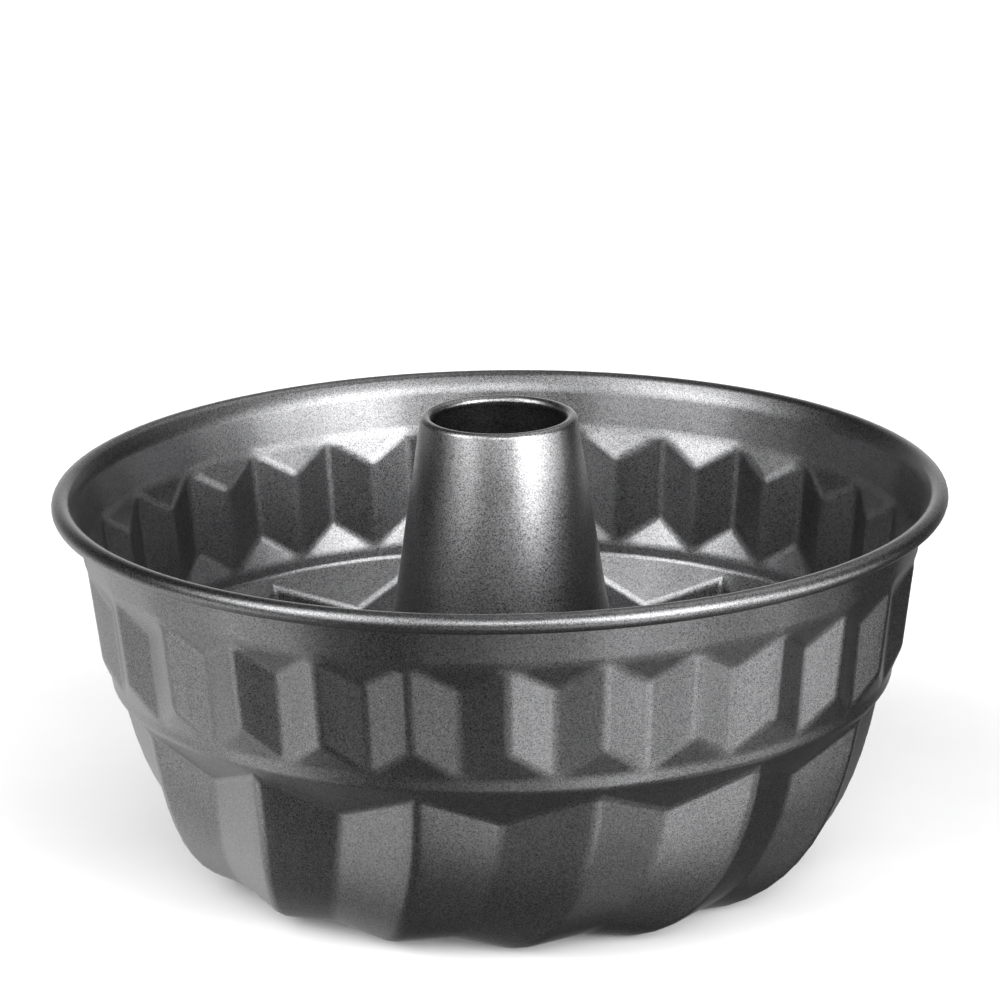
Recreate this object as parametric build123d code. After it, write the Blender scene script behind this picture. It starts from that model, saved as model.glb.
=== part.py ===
from build123d import *
import os
from math import acos, atan2, cos, degrees, radians, sin

# A fluted ring-cake pan: a pleated steel body with a rolled, wire-stiffened rim, and a
# tapered centre tube that is seamed into the hole in its floor.
# Millimetres, +Z up, origin on the table under the middle of the pan.

# Sheet and overall sizes
sheet = 0.8                  # coated steel sheet, body and tube alike
rim_diameter = 240.0         # outside of the rolled rim
pan_height = 106.0           # table to the top of the rolled rim
tube_height = 124.9          # table to the top of the centre tube

# Rolled rim
rim_roll = 5.1               # outer diameter of the roll
rim_roll_end = -138.0        # angle where the rolled edge stops, short of the wall

# Wall rings: how far in from the rim's outer edge, and how far below the roll's centre
neck = (5.7, 1.8)            # wall just under the rolled rim
shoulder = (7.5, 13.0)       # top of the upper pleats
upper_valley = (11.8, 20.4)  # where an upper valley starts, at the point of its facet
upper_ridge = (10.8, 36.5)   # where an upper ridge ends, at the point of its facet
waist = (14.2, 45.0)         # foot of the upper pleats
step = (14.7, 48.6)          # foot of the smooth band between the tiers
crest_top = (16.2, 51.2)     # where the crest of a lower flute starts
lower_valley = (24.0, 59.9)  # where a lower valley starts

# Lower flutes
flutes = 14                  # the upper tier has two pleats to each lower flute
ridge_land = 2.4             # flat along the crest of a lower flute
ridge_lean = 8.9             # how far a crest leans in before it turns under
valley_lean = 5.3            # the same for a valley
foot_radius = 66.2           # where the crests come down to the table
foot_length = 7.0            # radial length of each crest's flat foot
valley_inset = 2.6           # the valleys' floor starts this much nearer the axis
valley_lift = 2.1            # and this much above the table
swirl = 16.0                 # degrees that a flute turns on its way down the wall
swirl_power = 1.7            # the turn gathers towards the floor
floor_swirl = 6.0            # further turn across the floor

# Seam between floor and tube
seam_lift = 5.0              # underside of the floor at the seam, above the table
seam_land = 6.0              # flat ring of the floor around its hole
seam_flange = 3.6            # tube's flange turned out under the floor
seam_bead = 2.8              # tube's bead pressed out on top of the floor

# Centre tube
tube_base_radius = 38.6      # outside of the tube just above the seam bead
tube_top_radius = 21.1       # outside of the rolled lip
tube_roll = 3.0              # outer diameter of the rolled lip
tube_roll_end = 215.0        # angle where the lip's edge stops inside the tube

# Worked out from the sizes above
rim_radius = rim_diameter / 2
roll_radius = rim_roll / 2
wire_radius = roll_radius - sheet
rim_level = pan_height - roll_radius
roll_centre = (rim_radius - roll_radius, rim_level)
pleats = 2 * flutes
column = 360 / (2 * pleats)  # degrees from an upper ridge to the next upper valley
hole_radius = tube_base_radius + sheet
land_radius = hole_radius + seam_land
foot_end = foot_radius - foot_length
seam_top = seam_lift + sheet
bead_top = seam_top + 2 * sheet


def polar(radius, angle, height):
    """Point on a ring; the angle is in degrees from the front (-Y) towards +X."""
    turn = radians(angle)
    return Vector(radius * sin(turn), -radius * cos(turn), height)


def on_roll(centre, radius, angle):
    return (centre[0] + radius * cos(radians(angle)), centre[1] + radius * sin(radians(angle)))


def touch_angle(foot, centre, radius, side):
    """Angle on a roll where the straight sheet coming up from the foot runs into it."""
    across = foot[0] - centre[0]
    down = foot[1] - centre[1]
    distance = (across**2 + down**2) ** 0.5
    return degrees(atan2(down, across) + side * acos(radius / distance))


def rolled_edge(outer_foot, inner_foot, centre, roll, start, end):
    """Section of a sheet that runs up from its two foot points into a rolled edge."""
    hollow = roll - sheet
    middle = (start + end) / 2
    with BuildSketch(Plane.XZ) as section:
        with BuildLine():
            Line(outer_foot, on_roll(centre, roll, start))
            ThreePointArc(*[on_roll(centre, roll, angle) for angle in (start, middle, end)])
            Line(on_roll(centre, roll, end), on_roll(centre, hollow, end))
            ThreePointArc(*[on_roll(centre, hollow, angle) for angle in (end, middle, start)])
            Line(on_roll(centre, hollow, start), inner_foot)
            Line(inner_foot, outer_foot)
        make_face()
    return section.sketch


def ring_point(ring, angle, inset):
    """Point on one of the wall rings, on the outer skin or inset by the sheet."""
    return polar(rim_radius - ring[0] - inset, angle, rim_level - ring[1])


def wall_sweep(start, lean, foot, share, inset):
    """Radius and height along the curve that carries a crest or valley down to the floor."""
    before = 1 - share
    pull = (start[0] - lean, foot[1])
    radius = before**2 * start[0] + 2 * before * share * pull[0] + share**2 * foot[0]
    height = before**2 * start[1] + 2 * before * share * pull[1] + share**2 * foot[1]
    run = before * (pull[0] - start[0]) + share * (foot[0] - pull[0])
    drop = before * (pull[1] - start[1]) + share * (foot[1] - pull[1])
    length = (run**2 + drop**2) ** 0.5
    return radius + inset * drop / length, height - inset * run / length


def floor_rise(start, share, inset):
    """Radius and height along the floor, from the foot up to the flat land at the seam."""
    radius = start[0] + (land_radius - start[0]) * share
    height = start[1] + (seam_lift - start[1]) * (3 * share**2 - 2 * share**3)
    run = land_radius - start[0]
    climb = (seam_lift - start[1]) * 6 * (share - share**2)
    length = (run**2 + climb**2) ** 0.5
    return radius + inset * climb / length, height - inset * run / length


def floor_turn(radius):
    return swirl + floor_swirl * (foot_radius - radius) / (foot_radius - land_radius)


def flute_line(flute, crest, offset, inset):
    """The three edges of a crest or valley line: down the wall, across the foot, to the seam."""
    if crest:
        ring, lean = crest_top, ridge_lean
        foot = (foot_radius, 0)
    else:
        ring, lean = lower_valley, valley_lean
        foot = (foot_radius - valley_inset, valley_lift)
    lag = (ring[1] - crest_top[1]) / (rim_level - crest_top[1])
    start = (rim_radius - ring[0], rim_level - ring[1])
    angle = (flute if crest else flute - 0.5) * 360 / flutes + 2 * column

    def place(radius, height, turn):
        return polar(radius, angle - turn + degrees(offset / radius), height)

    wall = []
    for count in range(9):
        share = count / 8
        turn = swirl * (lag + (1 - lag) * share) ** swirl_power
        wall.append(place(*wall_sweep(start, lean, foot, share, inset), turn))
    turn_in = (foot_end, foot[1])
    rise = []
    for count in range(5):
        radius, height = floor_rise(turn_in, count / 4, inset)
        rise.append(place(radius, height, floor_turn(radius)))
    wall[-1] = place(foot[0], foot[1] + inset, floor_turn(foot[0]))
    return [Edge.make_spline(wall), Edge.make_line(wall[-1], rise[0]), Edge.make_spline(rise)]


def facet(*corners):
    return Face(Wire.make_polygon(corners))


def neck_arc(pleat, inset):
    """Top edge of the wall over one upper pleat."""
    angles = [(2 * pleat + count) * column for count in range(3)]
    return Edge.make_three_point_arc(*[ring_point(neck, angle, inset) for angle in angles])


def upper_pleats(inset):
    """Band under the rim, facets, pleats and waist of the upper tier, on one skin."""
    faces = []
    for pleat in range(pleats):
        left = (2 * pleat) * column
        middle = left + column
        right = middle + column
        tops = ring_point(shoulder, left, inset), ring_point(shoulder, right, inset)
        point = ring_point(upper_valley, middle, inset)
        crests = ring_point(upper_ridge, left, inset), ring_point(upper_ridge, right, inset)
        foot = ring_point(waist, middle, inset)
        faces.append(Face.make_surface_from_curves(neck_arc(pleat, inset), Edge.make_line(*tops)))
        faces.append(facet(tops[0], tops[1], point))
        for top, crest, angle in zip(tops, crests, (left, right)):
            faces.append(facet(top, crest, foot))
            faces.append(facet(top, foot, point))
            faces.append(facet(crest, foot, ring_point(waist, angle, inset)))
    return faces


def lower_flutes(inset):
    """Step, facets and flutes of the lower tier, down to the land at the seam, on one skin."""
    faces = []
    for flute in range(flutes):
        left = flute_line(flute, True, ridge_land / 2, inset)
        valley = flute_line(flute + 1, False, 0, inset)
        right = flute_line(flute + 1, True, -ridge_land / 2, inset)
        crest = flute_line(flute + 1, True, ridge_land / 2, inset)
        for lines in ((left, valley), (valley, right)):
            for first, second in zip(*lines):
                faces.append(Face.make_surface_from_curves(first, second))

        # The crest's land, with its flat foot on the table
        faces.append(Face.make_surface_from_curves(right[0], crest[0]))
        faces.append(facet(right[1] @ 0, right[1] @ 1, crest[1] @ 1, crest[1] @ 0))
        faces.append(Face.make_surface_from_curves(right[2], crest[2]))

        # The smooth band between the tiers, and the facet that leads from it into the valley
        start = (4 * flute + 2) * column
        angles = [start + count * column for count in range(5)]
        band_top = [ring_point(waist, angle, inset) for angle in angles]
        band_foot = [ring_point(step, angle, inset) for angle in angles]
        for count in range(4):
            corners = band_top[count : count + 2] + band_foot[count : count + 2][::-1]
            faces.append(facet(*corners))
        edge = [left[0] @ 0, *band_foot, right[0] @ 0]
        for first, second in zip(edge, edge[1:]):
            faces.append(facet(first, second, valley[0] @ 0))
        faces.append(facet(right[0] @ 0, band_foot[4], crest[0] @ 0))
    return faces


def seam_land_ring(height, inset):
    """Flat ring of the floor between the last of the flutes and the hole."""
    corners = []
    for flute in range(flutes):
        for line in (
            flute_line(flute, True, -ridge_land / 2, inset),
            flute_line(flute, True, ridge_land / 2, inset),
            flute_line(flute + 1, False, 0, inset),
        ):
            corners.append(line[2] @ 1)
    hole = Wire.make_circle(hole_radius, Plane.XY.offset(height))
    return Face(Wire.make_polygon(corners), [hole])


def make_pan_body():
    faces = upper_pleats(0) + upper_pleats(sheet)
    faces += lower_flutes(0) + lower_flutes(sheet)
    faces += [seam_land_ring(seam_lift, 0), seam_land_ring(seam_top, sheet)]

    # Edge of the sheet in the hole
    hole_edge = Edge.make_line((hole_radius, 0, seam_lift), (hole_radius, 0, seam_top))
    faces.append(Face.revolve(hole_edge, 360, Axis.Z))

    # Top edge of the wall, where the rolled rim starts
    neck_level = rim_level - neck[1]
    rings = [Wire([neck_arc(pleat, inset) for pleat in range(pleats)]) for inset in (0, sheet)]
    faces.append(Face(rings[0], [rings[1]]))
    wall = Solid(Shell(faces))

    # The rolled rim itself
    foot_far = (rim_radius - neck[0], neck_level)
    foot_near = (foot_far[0] - sheet, neck_level)
    start = touch_angle(foot_near, roll_centre, roll_radius, -1) + 360
    section = rolled_edge(foot_near, foot_far, roll_centre, roll_radius, start, rim_roll_end)
    return wall + revolve(section, Axis.Z)


def make_rim_wire():
    """Round steel wire closed into a ring, held all round by the rolled rim."""
    return Pos(0, 0, rim_level) * Torus(roll_centre[0], wire_radius)


def make_seam():
    """Section of the tube's foot: a bead above the floor and a flange under it grip its edge."""
    bead_edge = hole_radius + seam_bead - sheet
    flange_edge = hole_radius + seam_flange
    flange_level = seam_lift - sheet
    with BuildSketch(Plane.XZ) as section:
        with BuildLine():
            Polyline(
                (bead_edge, seam_top),
                (hole_radius, seam_top),
                (hole_radius, seam_lift),
                (flange_edge, seam_lift),
                (flange_edge, flange_level),
                (hole_radius - sheet, flange_level),
                (tube_base_radius - sheet, bead_top),
                (bead_edge, bead_top),
            )
            ThreePointArc(
                (bead_edge, bead_top),
                (bead_edge + sheet, seam_top + sheet),
                (bead_edge, seam_top),
            )
        make_face()
    return section.sketch


def make_centre_tube():
    """Tapered tube, open at both ends, with a rolled lip and its seam to the floor."""
    lip_radius = tube_roll / 2
    lip_centre = (tube_top_radius - lip_radius, tube_height - lip_radius)
    foot_near = (tube_base_radius, bead_top)
    foot_far = (tube_base_radius - sheet, bead_top)
    start = touch_angle(foot_near, lip_centre, lip_radius, 1)
    wall = rolled_edge(foot_near, foot_far, lip_centre, lip_radius, start, tube_roll_end)
    return revolve(make_seam() + wall, Axis.Z)


parts = {
    "pan_body": make_pan_body(),
    "rim_wire": make_rim_wire(),
    "centre_tube": make_centre_tube(),
}

os.makedirs("parts", exist_ok=True)
for name, part in parts.items():
    export_step(part, f"parts/{name}.step")
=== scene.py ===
from math import acos, atan2, cos, pi, radians, sin

import bmesh
import bpy
from mathutils import Matrix, Vector


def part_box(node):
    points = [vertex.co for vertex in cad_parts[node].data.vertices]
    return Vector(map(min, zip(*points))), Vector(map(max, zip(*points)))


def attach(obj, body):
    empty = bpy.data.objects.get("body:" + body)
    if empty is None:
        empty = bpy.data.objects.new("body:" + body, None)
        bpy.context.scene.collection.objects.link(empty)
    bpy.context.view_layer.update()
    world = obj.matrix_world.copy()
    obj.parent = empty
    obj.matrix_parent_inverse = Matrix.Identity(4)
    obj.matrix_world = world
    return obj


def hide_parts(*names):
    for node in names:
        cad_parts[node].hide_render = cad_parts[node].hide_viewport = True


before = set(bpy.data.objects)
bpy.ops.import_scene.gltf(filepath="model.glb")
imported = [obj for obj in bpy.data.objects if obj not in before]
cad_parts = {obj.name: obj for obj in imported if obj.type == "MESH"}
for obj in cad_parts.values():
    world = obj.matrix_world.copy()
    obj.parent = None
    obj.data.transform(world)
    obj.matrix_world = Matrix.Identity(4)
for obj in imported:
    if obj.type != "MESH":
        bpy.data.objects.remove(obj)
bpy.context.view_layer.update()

# ---------------------------------------------------------------------------------------
# Pan body: one pressed shell of 0.8 mm coated steel. Its wall is folded into sharp upper
# pleats and broad lower flutes that swirl under the floor, and its top edge is rolled
# outwards over a wire. The pleats of one flute are folded first and repeated round the pan.
# ---------------------------------------------------------------------------------------
mm = 0.001
sheet = 0.8 * mm
flutes = 14
columns = 8                                  # columns of points across one flute
column_turn = 2 * pi / (flutes * columns)
ridges = (0, 4, 8)                           # columns of the upper ridges
valleys = (2, 6)                             # columns of the upper valleys
lower_crest = 4
lower_valleys = (0, 8)

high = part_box("pan_body")[1]
rim_radius = high.y
roll_radius = 2.55 * mm
wire_radius = roll_radius - sheet
rim_level = high.z - roll_radius
roll_middle = rim_radius - roll_radius

# Rings of the wall: (in from the rim's outer edge, below the middle of the roll)
neck = (5.7 * mm, 1.8 * mm)
shoulder = (7.5 * mm, 13.0 * mm)
valley_top = (11.8 * mm, 20.4 * mm)
ridge_end = (10.7 * mm, 37.0 * mm)
waist = (14.2 * mm, 45.0 * mm)
step = (14.7 * mm, 48.6 * mm)
crest_top = (16.2 * mm, 51.2 * mm)
lower_valley_top = (24.0 * mm, 59.9 * mm)

# The flutes' way down the wall and in under the floor
crest_lean, crest_foot = 8.9 * mm, (66.2 * mm, 0.0)
valley_lean, valley_foot = 5.3 * mm, (63.6 * mm, 2.1 * mm)
swirl, swirl_power = radians(16.0), 1.7
floor_swirl = radians(6.0)
foot_end = 59.2 * mm
land_radius, seam_lift = 45.4 * mm, 5.0 * mm
hole_radius = 39.4 * mm
wall_rings = 12
floor_rings = 5
roll_steps = 18


def polar(radius, turn, height):
    """Point at an angle from the front (-Y) towards +X."""
    return Vector((radius * sin(turn), -radius * cos(turn), height))


def on_ring(ring, column):
    """Point of a wall ring at one of the columns."""
    return polar(rim_radius - ring[0], column * column_turn, rim_level - ring[1])


def straight_between(points):
    """Fills the columns that have no point of their own with points on straight lines."""
    filled = []
    known = sorted(points)
    for left, right in zip(known, known[1:]):
        for column in range(left, right):
            share = (column - left) / (right - left)
            filled.append(points[left].lerp(points[right], share))
    filled.append(points[known[-1]])
    return filled


def swept(start, lean, foot, share):
    """Radius and height on the curve that carries a crest or valley down to the floor."""
    before = 1 - share
    pull = (start[0] - lean, foot[1])
    radius = before**2 * start[0] + 2 * before * share * pull[0] + share**2 * foot[0]
    height = before**2 * start[1] + 2 * before * share * pull[1] + share**2 * foot[1]
    return radius, height


def flute_ring(share):
    """Ring of the lower wall: crest and valleys on their curves, straight flanks between."""
    points = {}
    for column in (*lower_valleys, lower_crest):
        crest = column == lower_crest
        top = crest_top if crest else lower_valley_top
        lean, foot = (crest_lean, crest_foot) if crest else (valley_lean, valley_foot)
        start = (rim_radius - top[0], rim_level - top[1])
        lag = (top[1] - crest_top[1]) / (rim_level - crest_top[1])
        radius, height = swept(start, lean, foot, share)
        turn = swirl * (lag + (1 - lag) * share) ** swirl_power
        points[column] = polar(radius, column * column_turn - turn, height)
    return straight_between(points)


def floor_ring(radius, share, round_edge=False):
    """Ring of the floor: from the flutes' feet, share 0, up to the land at the seam."""
    climb = 3 * share**2 - 2 * share**3      # eases in and out of the slope
    turn = swirl + floor_swirl * (crest_foot[0] - radius) / (crest_foot[0] - land_radius)
    points = {}
    for column in range(columns + 1):
        if round_edge or column in (*lower_valleys, lower_crest):
            lift = 0 if column == lower_crest else valley_foot[1]
            if round_edge:
                lift = seam_lift
            height = lift + (seam_lift - lift) * climb
            points[column] = polar(radius, column * column_turn - turn, height)
    return straight_between(points)


def select_vertices(test):
    """Selects the vertices of the mesh in edit mode that pass the test."""
    shape = bmesh.from_edit_mesh(bpy.context.object.data)
    marks = shape.verts.layers.int["column"], shape.verts.layers.int["ring"]
    for vertex in shape.verts:
        vertex.select = test(vertex[marks[0]], vertex[marks[1]])
    shape.select_flush(True)
    shape.select_flush(False)
    bmesh.update_edit_mesh(bpy.context.object.data)


def pull_sheet(from_ring, ring, targets):
    """Extrudes one ring of the sheet and carries each column of the new ring to its place."""
    select_vertices(lambda column, number: number == from_ring)
    bpy.ops.mesh.extrude_edges_move()
    shape = bmesh.from_edit_mesh(bpy.context.object.data)
    numbers = shape.verts.layers.int["ring"]
    for vertex in shape.verts:
        if vertex.select:
            vertex[numbers] = ring
    for place, target in enumerate(targets):
        select_vertices(lambda column, number: number == ring and column == place)
        shape = bmesh.from_edit_mesh(bpy.context.object.data)
        now = next(vertex.co for vertex in shape.verts if vertex.select)
        bpy.ops.transform.translate(value=target - now)


def soften(weight, test):
    """Gives the folds whose two (column, ring) ends pass the test a share of the bevel."""
    shape = bmesh.from_edit_mesh(bpy.context.object.data)
    marks = shape.verts.layers.int["column"], shape.verts.layers.int["ring"]
    for edge in shape.edges:
        ends = [(vertex[marks[0]], vertex[marks[1]]) for vertex in edge.verts]
        edge.select = test(*sorted(ends, key=lambda end: end[1]))
    bmesh.update_edit_mesh(bpy.context.object.data)
    bpy.ops.transform.edge_bevelweight(value=weight)


# The neck's edge over one flute, cut from a full circle
bpy.ops.object.select_all(action="DESELECT")
bpy.ops.mesh.primitive_circle_add(vertices=flutes * columns, radius=rim_radius - neck[0])
pan = bpy.context.object
pan.name = "pan_body_shell"
pan.data.name = "pan_body_shell"
bpy.ops.object.mode_set(mode="EDIT")
bpy.ops.mesh.select_all(action="SELECT")
bpy.ops.transform.translate(value=(0, 0, rim_level - neck[1]))
outline = bmesh.from_edit_mesh(pan.data)
column_mark = outline.verts.layers.int.new("column")
outline.verts.layers.int.new("ring")
for vertex in outline.verts:
    vertex[column_mark] = round(atan2(vertex.co.x, -vertex.co.y) / column_turn) % (flutes * columns)
bmesh.update_edit_mesh(pan.data)
select_vertices(lambda column, ring: column > columns)
bpy.ops.mesh.delete(type="VERT")

# Down the wall: rings 1 to 6 are the upper pleats and the band under them
wall = [
    straight_between({column: on_ring(shoulder, column) for column in ridges}),
    straight_between(
        {column: on_ring(shoulder, column) for column in ridges}
        | {column: on_ring(valley_top, column) for column in valleys}
    ),
    straight_between(
        {column: on_ring(ridge_end, column) for column in ridges}
        | {column: on_ring(waist, column) for column in valleys}
    ),
    [on_ring(waist, column) for column in range(columns + 1)],
    [on_ring(step, column) for column in range(columns + 1)],
]
wall += [flute_ring(count / wall_rings) for count in range(wall_rings + 1)]
wall += [
    floor_ring(foot_end + (land_radius - foot_end) * count / floor_rings, count / floor_rings)
    for count in range(floor_rings)
]
wall += [floor_ring(land_radius, 1, True), floor_ring(hole_radius, 1, True)]
for number, targets in enumerate(wall):
    pull_sheet(number, number + 1, targets)
last_ring = len(wall)

# Up and out over the wire: the roll's own rings are numbered below zero
near = (rim_radius - neck[0] - sheet - roll_middle, -neck[1])
reach = (near[0] ** 2 + near[1] ** 2) ** 0.5
roll_start = atan2(near[1], near[0]) - acos(roll_radius / reach) + 2 * pi
roll_end = radians(-138)                     # the rolled edge stops short of the wall
for count in range(roll_steps + 1):
    turn = roll_start + (roll_end - roll_start) * count / roll_steps
    radius = roll_middle + wire_radius * cos(turn)
    height = rim_level + wire_radius * sin(turn)
    targets = [polar(radius, column * column_turn, height) for column in range(columns + 1)]
    pull_sheet(-count, -count - 1, targets)

# Folds that are rounded, as shares of the widest rounding: first those that run round the
# pan, by their ring, and then those that run down the wall
widest_rounding = 3.0 * mm
pleat_top, pleat_foot = 2, 3                 # zigzag rings at the two ends of the flat flanks
ledge = 6                                    # ring where the flutes' flanks start
land = last_ring - 1                         # ring where the flutes run out on the floor
round_folds = {
    0: 0.50, 1: 0.60, pleat_top: 0.48, pleat_foot: 0.48, 4: 0.36, 5: 0.32, ledge: 0.40, land: 0.50,
}
for ring, weight in round_folds.items():
    soften(weight, lambda one, two: one[1] == two[1] == ring)
for folds, weight in ((ridges, 0.55), (valleys, 0.48)):
    soften(
        weight,
        lambda one, two: one[0] == two[0] and one[0] in folds
        and (one[1], two[1]) == (pleat_top, pleat_foot),
    )
for folds, weight in (((lower_crest,), 0.60), (lower_valleys, 0.45)):
    soften(
        weight,
        lambda one, two: one[0] == two[0] and one[0] in folds and ledge <= one[1] < land,
    )

# The same flute all round, welded into one shell
bpy.ops.mesh.select_all(action="SELECT")
bpy.ops.mesh.remove_doubles(threshold=0.01 * mm)
bpy.ops.mesh.spin(
    steps=flutes - 1, dupli=True, angle=2 * pi * (flutes - 1) / flutes,
    use_normal_flip=False, center=(0, 0, 0), axis=(0, 0, 1),
)
bpy.ops.mesh.select_all(action="SELECT")
bpy.ops.mesh.remove_doubles(threshold=0.02 * mm)
bpy.ops.mesh.normals_make_consistent(inside=True)
bpy.ops.object.mode_set(mode="OBJECT")

rounding = pan.modifiers.new("rounded folds", "BEVEL")
rounding.limit_method = "WEIGHT"
rounding.width = widest_rounding
rounding.segments = 3
rounding.use_clamp_overlap = True
bpy.ops.object.modifier_apply(modifier=rounding.name)
thickness = pan.modifiers.new("sheet", "SOLIDIFY")
thickness.thickness = sheet
thickness.offset = -1
thickness.use_even_offset = True
bpy.ops.object.modifier_apply(modifier=thickness.name)
bpy.ops.object.shade_smooth_by_angle(angle=radians(50))
flat_normals = pan.modifiers.new("flat facets", "WEIGHTED_NORMAL")
flat_normals.mode = "FACE_AREA"
flat_normals.weight = 80
flat_normals.keep_sharp = True
bpy.ops.object.modifier_apply(modifier=flat_normals.name)


class Signal:
    """A number, colour or vector of a finish. Arithmetic on numbers adds Math nodes."""

    def __init__(self, tree, socket=None):
        self.tree = tree
        self.socket = socket

    def node(self, kind, settings=None, inputs=None, output=0):
        """Adds any other node: its settings first, then its sockets' values or links."""
        made = self.tree.nodes.new("ShaderNode" + kind)
        for name, value in (settings or {}).items():
            setattr(made, name, value)
        for name, value in (inputs or {}).items():
            if isinstance(value, Signal):
                self.tree.links.new(value.socket, made.inputs[name])
            else:
                made.inputs[name].default_value = value
        return Signal(self.tree, made.outputs[output] if len(made.outputs) else None)

    def math(self, operation, *values):
        """One Math node on the values, in order."""
        return self.node("Math", {"operation": operation}, dict(enumerate(values)))

    def __add__(self, other):
        return self.math("ADD", self, other)

    def __radd__(self, other):
        return self.math("ADD", other, self)

    def __sub__(self, other):
        return self.math("SUBTRACT", self, other)

    def __mul__(self, other):
        return self.math("MULTIPLY", self, other)

    def clamped(self):
        """The same number, held between 0 and 1."""
        return self.node("Math", {"operation": "ADD", "use_clamp": True}, {0: self, 1: 0.0})


def new_finish(name):
    """An empty material, with its shader's output still to be linked."""
    finish = bpy.data.materials.new(name)
    finish.use_nodes = True
    finish.node_tree.nodes.clear()
    return finish, Signal(finish.node_tree)


def mottle(paint, place, scale, detail, roughness):
    """Cloudy noise from 0 to 1, with about so many patches to a metre."""
    return paint.node(
        "TexNoise", {"noise_dimensions": "3D"},
        {"Vector": place, "Scale": scale, "Detail": detail, "Roughness": roughness}, output="Fac",
    )


def blend(paint, share, dark, light):
    """Colour between the dark and the light one."""
    return paint.node("Mix", {"data_type": "RGBA"}, {0: share, 6: dark, 7: light}, output=2)


def coating(name, dark, light, rough):
    """Baked non-stick coating: satin dark grey, with a fine metallic fleck and faint orange peel."""
    finish, paint = new_finish(name)
    place = paint.node("TexCoord", output="Object")
    flakes = paint.node(
        "TexVoronoi", {"feature": "F1"}, {"Vector": place, "Scale": 5800.0, "Randomness": 1.0},
        output="Color",
    )
    fleck = paint.node("SeparateColor", inputs={"Color": flakes}, output="Red")
    grain = mottle(paint, place, 6600.0, 1.0, 0.6)
    peel = mottle(paint, place, 420.0, 1.5, 0.5)
    cloud = mottle(paint, place, 24.0, 3.0, 0.55)
    shade = ((fleck - 0.5) * 0.9 + (grain - 0.5) * 1.2 + (cloud - 0.5) * 0.2 + 0.5).clamped()
    gloss = (rough + (fleck - 0.5) * 0.10 + (cloud - 0.5) * 0.08).clamped()
    relief = grain * 0.5 + fleck * 0.35 + peel * 0.9
    peel_depth = 0.008 * mm
    bumps = paint.node("Bump", inputs={"Strength": 1.0, "Distance": peel_depth, "Height": relief})
    shader = paint.node(
        "BsdfPrincipled",
        inputs={
            "Base Color": blend(paint, shade, dark, light), "Metallic": 1.0,
            "Roughness": gloss, "Normal": bumps,
        },
    )
    paint.node("OutputMaterial", inputs={"Surface": shader})
    return finish


body_coating = coating(
    "body_coating", dark=(0.042, 0.042, 0.043, 1), light=(0.243, 0.243, 0.247, 1), rough=0.31,
)
pan.data.materials.clear()
pan.data.materials.append(body_coating)
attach(pan, "root")
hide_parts("pan_body")

# ---------------------------------------------------------------------------------------
# Rim wire: a round steel wire closed into a ring, lying inside the rolled rim. Only a
# thread of it shows through the gap under the roll. It keeps its own solid.
# ---------------------------------------------------------------------------------------
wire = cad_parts["rim_wire"]
wire_steel, steel = new_finish("wire_steel")
steel_place = steel.node("TexCoord", output="Object")
drawn = mottle(steel, steel_place, 900.0, 4.0, 0.7)
stain = mottle(steel, steel_place, 60.0, 3.0, 0.6)
steel_colour = blend(
    steel, (stain * 0.7 + drawn * 0.3).clamped(), (0.28, 0.27, 0.26, 1), (0.55, 0.55, 0.54, 1)
)
drawing_depth = 0.01 * mm
steel_bumps = steel.node(
    "Bump", inputs={"Strength": 0.6, "Distance": drawing_depth, "Height": drawn}
)
steel_shader = steel.node(
    "BsdfPrincipled",
    inputs={
        "Base Color": steel_colour, "Metallic": 1.0,
        "Roughness": 0.28 + stain * 0.25, "Normal": steel_bumps,
    },
)
steel.node("OutputMaterial", inputs={"Surface": steel_shader})
for holder in wire.material_slots:
    holder.material = wire_steel

# ---------------------------------------------------------------------------------------
# Centre tube: a tapered steel tube in the body's coating painted lighter, as painted light that
# brightens the tube's reflections, open at both ends. Its top edge is rolled inwards, and its foot is
# folded over and under the floor's edge to seam the two.
# ---------------------------------------------------------------------------------------
tube_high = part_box("centre_tube")[1]
tube_base = 38.6 * mm
tube_top = 21.1 * mm                         # outside of the rolled lip
lip_radius = 1.5 * mm
lip_middle = (tube_top - lip_radius, tube_high.z - lip_radius)
lip_end = radians(215)                       # the lip's edge stops inside the tube
seam_top = seam_lift + sheet
bead_top = seam_top + 2 * sheet
bead_edge = 41.4 * mm
flange_edge = 43.0 * mm
flange_level = seam_lift - sheet
edge_break, neck_break = 0.2 * mm, 0.6 * mm  # rounding of the flange's edge and of the neck
wall_steps, lip_steps, bead_steps = 9, 16, 6
around = 128


def lip_point(radius, turn):
    """Point on the lip's round section, an angle up from its outer side."""
    return lip_middle[0] + radius * cos(turn), lip_middle[1] + radius * sin(turn)


def along_wall(start, end):
    """Points between the two ends of the tube's straight wall."""
    return [tuple(Vector(start).lerp(Vector(end), count / wall_steps)) for count in range(1, wall_steps)]


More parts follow.
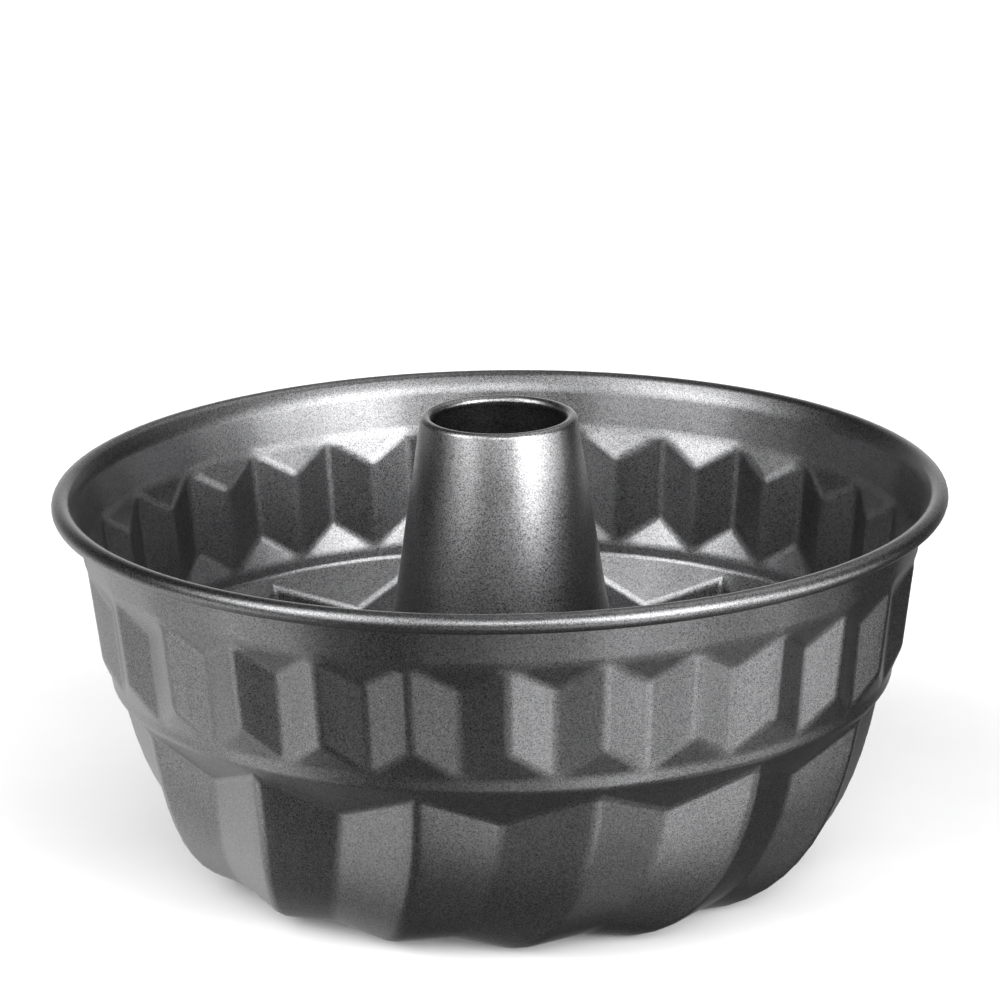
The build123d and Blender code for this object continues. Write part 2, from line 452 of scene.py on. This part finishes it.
tube_foot = (tube_base - lip_middle[0], bead_top - lip_middle[1])
tube_reach = (tube_foot[0] ** 2 + tube_foot[1] ** 2) ** 0.5
lip_start = atan2(tube_foot[1], tube_foot[0]) + acos(lip_radius / tube_reach)
lip_turns = [lip_start + (lip_end - lip_start) * count / lip_steps for count in range(lip_steps + 1)]
bead_turns = [pi * (0.5 - count / bead_steps) for count in range(bead_steps + 1)]
outer_foot, inner_foot = (tube_base, bead_top), (tube_base - sheet, bead_top)
section = [outer_foot, *along_wall(outer_foot, lip_point(lip_radius, lip_start))]
section += [lip_point(lip_radius, turn) for turn in lip_turns]
section += [lip_point(lip_radius - sheet, turn) for turn in reversed(lip_turns)]
section += along_wall(lip_point(lip_radius - sheet, lip_start), inner_foot)
section += [
    inner_foot,
    (hole_radius - sheet, flange_level + neck_break),
    (hole_radius - sheet + neck_break / 2, flange_level),
    (flange_edge - edge_break, flange_level),
    (flange_edge, flange_level + edge_break),
    (flange_edge, seam_lift),
    (hole_radius, seam_lift),
    (hole_radius, seam_top),
]
section += [
    (bead_edge + sheet * cos(turn), seam_top + sheet + sheet * sin(turn))
    for turn in reversed(bead_turns)
]

bpy.ops.object.select_all(action="DESELECT")
bpy.ops.mesh.primitive_plane_add(size=mm)
tube = bpy.context.object
tube.name = "centre_tube_shell"
tube.data.name = "centre_tube_shell"
bpy.ops.object.mode_set(mode="EDIT")
bpy.ops.mesh.select_all(action="SELECT")
bpy.ops.mesh.merge(type="CENTER")
bpy.ops.transform.translate(value=(section[0][0], 0, section[0][1]))
for here, there in zip(section, section[1:] + section[:1]):
    bpy.ops.mesh.extrude_region_move(
        TRANSFORM_OT_translate={"value": (there[0] - here[0], 0, there[1] - here[1])}
    )
bpy.ops.mesh.select_all(action="SELECT")
bpy.ops.mesh.remove_doubles(threshold=0.01 * mm)
bpy.ops.mesh.spin(steps=around, angle=2 * pi, center=(0, 0, 0), axis=(0, 0, 1))
bpy.ops.mesh.select_all(action="SELECT")
bpy.ops.mesh.remove_doubles(threshold=0.01 * mm)
bpy.ops.mesh.normals_make_consistent(inside=False)
bpy.ops.object.mode_set(mode="OBJECT")
bpy.ops.object.shade_smooth_by_angle(angle=radians(40))

# A lighter copy of the body's coating: painted light that brightens the tube's highlights and
# reflections.
tube_coating = coating(
    "tube_coating", dark=(0.060, 0.060, 0.061, 1), light=(0.340, 0.340, 0.345, 1), rough=0.30,
)
tube.data.materials.clear()
tube.data.materials.append(tube_coating)
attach(tube, "root")
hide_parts("centre_tube")

# ---------------------------------------------------------------------------------------
# Floor, light and camera: a plain pale floor, soft boxes round the pan, and a long lens
# looking a little down into it. Light from under the pan reaches it through the floor.
# ---------------------------------------------------------------------------------------
bpy.ops.object.select_all(action="DESELECT")
floor_size = 12                              # metres, so that its edge is out of view
bpy.ops.mesh.primitive_plane_add(size=floor_size)
floor = bpy.context.object
floor.name = "floor"
floor.visible_glossy = False
floor.visible_shadow = False
floor_finish, ground = new_finish("pale_floor")
floor_place = ground.node("TexCoord", output="Object")
floor_tone = ground.node("TexNoise", inputs={"Vector": floor_place, "Scale": 30.0}, output="Fac")
floor_colour = blend(ground, floor_tone, (0.86, 0.86, 0.86, 1), (0.90, 0.90, 0.90, 1))
floor_shader = ground.node("BsdfPrincipled", inputs={"Base Color": floor_colour, "Roughness": 0.9})
ground.node("OutputMaterial", inputs={"Surface": floor_shader})
floor.data.materials.append(floor_finish)

# The studio round the pan: each soft box is seen as (azimuth from the front towards +X,
# elevation, tightness, strength), and all the rest of the room is dark.
soft_boxes = [
    (-60, 28, 26, 9.5), (-50, 50, 26, 4.0), (0, 28, 26, 7.0), (40, 28, 26, 9.0),  # above
    (-40, 8, 26, 3.2), (40, 8, 26, 9.5), (60, 8, 26, 4.3),                        # level
    (-80, -32, 26, 2.3), (0, -32, 26, 0.9), (40, -32, 26, 3.0),                   # below
    (80, -12, 26, 5.0), (100, -52, 26, 0.6), (0, -80, 8, 0.2),                    # below
    (120, 62, 10, 1.8), (180, 0, 10, 1.4), (230, -30, 10, 1.5),                   # behind
]
world = bpy.data.worlds.new("studio")
bpy.context.scene.world = world
world.use_nodes = True
world.node_tree.nodes.clear()
air = Signal(world.node_tree)
direction = air.node("TexCoord", output="Generated")
brightness = 0.0
for azimuth, elevation, tightness, strength in soft_boxes:
    turn, lift = radians(azimuth), radians(elevation)
    towards = Vector((sin(turn) * cos(lift), -cos(turn) * cos(lift), sin(lift)))
    nearness = air.node(
        "VectorMath", {"operation": "DOT_PRODUCT"}, {0: direction, 1: towards}, output="Value"
    )
    brightness = air.math("EXPONENT", (nearness - 1.0) * tightness) * strength + brightness
backdrop = air.node("Background", inputs={"Color": brightness, "Strength": 1.0})
air.node("OutputWorld", inputs={"Surface": backdrop})

camera_data = bpy.data.cameras.new("camera")
camera_data.lens = 183.6
camera_data.sensor_width = 36
camera_data.clip_start, camera_data.clip_end = 0.05, 20
camera = bpy.data.objects.new("camera", camera_data)
bpy.context.scene.collection.objects.link(camera)
bpy.context.scene.camera = camera
look_down, camera_roll, camera_turn = 0.2841, -0.0132, -0.012      # radians
forward = Vector((0, cos(look_down), -sin(look_down)))
level_right, level_up = Vector((1, 0, 0)), Vector((0, sin(look_down), cos(look_down)))
right = level_right * cos(camera_roll) + level_up * sin(camera_roll)
up = level_up * cos(camera_roll) - level_right * sin(camera_roll)
stand = Vector((0.05 * mm, -1313.65 * mm, rim_level + 381.18 * mm))
facing = Matrix((right, up, -forward)).transposed().to_4x4()
around_pan = Matrix.Rotation(camera_turn, 4, "Z")
camera.matrix_world = around_pan @ Matrix.Translation(stand) @ facing

bpy.context.scene.view_settings.view_transform = "Standard"
